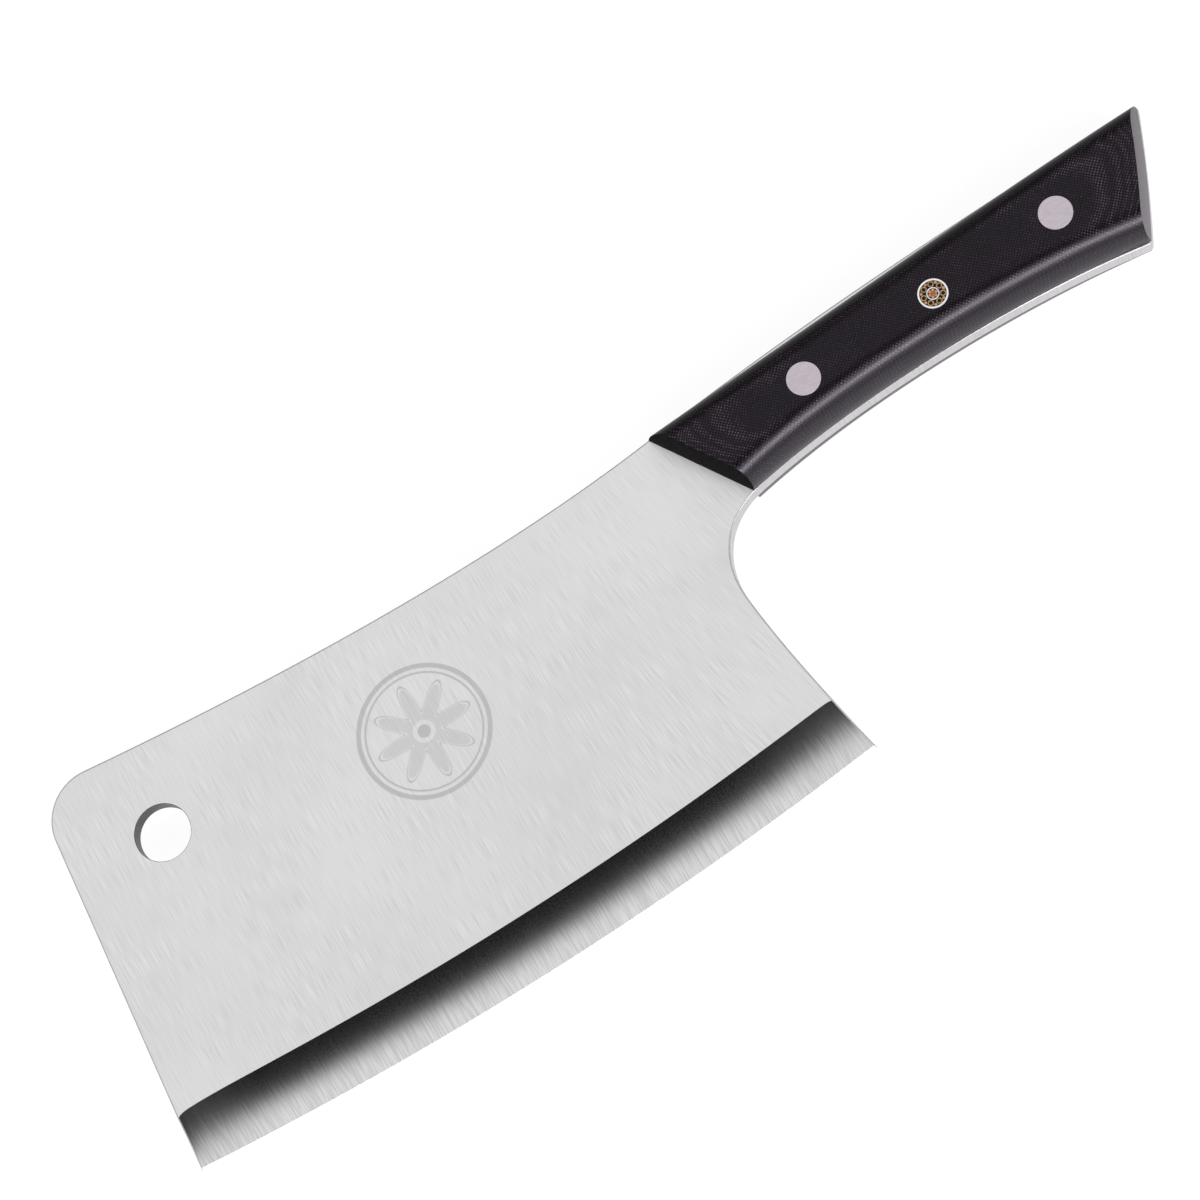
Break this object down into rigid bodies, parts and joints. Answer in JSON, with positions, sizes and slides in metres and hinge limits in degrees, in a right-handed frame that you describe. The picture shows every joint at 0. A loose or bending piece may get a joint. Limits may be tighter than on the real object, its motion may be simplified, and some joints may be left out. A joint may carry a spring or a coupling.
{
  "type": "meat cleaver",
  "caption": "Full-tang butcher's cleaver: wide hollow-ground blade with a hanging hole, and black laminate scales held by flush rivets and a decorative mosaic pin",
  "frame": {"origin": "middle of the footprint of the cleaver lying flat, at the level that the back scale rests on", "axes": "+X from the blade's front end to the butt, along the straight line between the ends of the cutting edge; +Y from the cutting edge to the spine; +Z from the back scale to the front scale"},
  "size_m": [0.3062, 0.1008, 0.0215],
  "materials": {
    "blade_steel": "stainless steel, fine grind lines square to the edge, hollow-ground bevel",
    "rivet_steel": "stainless steel, sanded flush",
    "laminate": "black woven-cloth and resin laminate, satin",
    "pin_brass": "sanded brass",
    "pin_copper": "sanded copper",
    "pin_resin": "black casting resin, sanded flush"
  },
  "bodies": {
    "root": {"blade": "blade_steel", "front_scale": "laminate", "back_scale": "laminate", "front_rivet_sleeve": "rivet_steel", "front_rivet_post": "rivet_steel", "rear_rivet_sleeve": "rivet_steel", "rear_rivet_post": "rivet_steel", "mosaic_brass_tube_1": "pin_brass", "mosaic_brass_tube_2": "pin_brass", "mosaic_brass_tube_3": "pin_brass", "mosaic_brass_tube_4": "pin_brass", "mosaic_brass_tube_5": "pin_brass", "mosaic_brass_tube_6": "pin_brass", "mosaic_brass_tube_7": "pin_brass", "mosaic_centre_filling": "pin_resin", "mosaic_centre_tube": "pin_brass", "mosaic_copper_rod_1": "pin_copper", "mosaic_copper_rod_2": "pin_copper", "mosaic_copper_rod_3": "pin_copper", "mosaic_copper_rod_4": "pin_copper", "mosaic_copper_rod_5": "pin_copper", "mosaic_copper_rod_6": "pin_copper", "mosaic_copper_rod_7": "pin_copper", "mosaic_core_resin": "pin_resin", "mosaic_core_rod_1": "pin_copper", "mosaic_core_rod_2": "pin_copper", "mosaic_core_rod_3": "pin_copper", "mosaic_core_rod_4": "pin_copper", "mosaic_core_rod_5": "pin_copper", "mosaic_core_rod_6": "pin_copper", "mosaic_core_tube": "rivet_steel", "mosaic_outer_resin": "pin_resin", "mosaic_outer_tube": "rivet_steel", "mosaic_tube_filling_1": "pin_resin", "mosaic_tube_filling_2": "pin_resin", "mosaic_tube_filling_3": "pin_resin", "mosaic_tube_filling_4": "pin_resin", "mosaic_tube_filling_5": "pin_resin", "mosaic_tube_filling_6": "pin_resin", "mosaic_tube_filling_7": "pin_resin"}
  },
  "joints": []
}
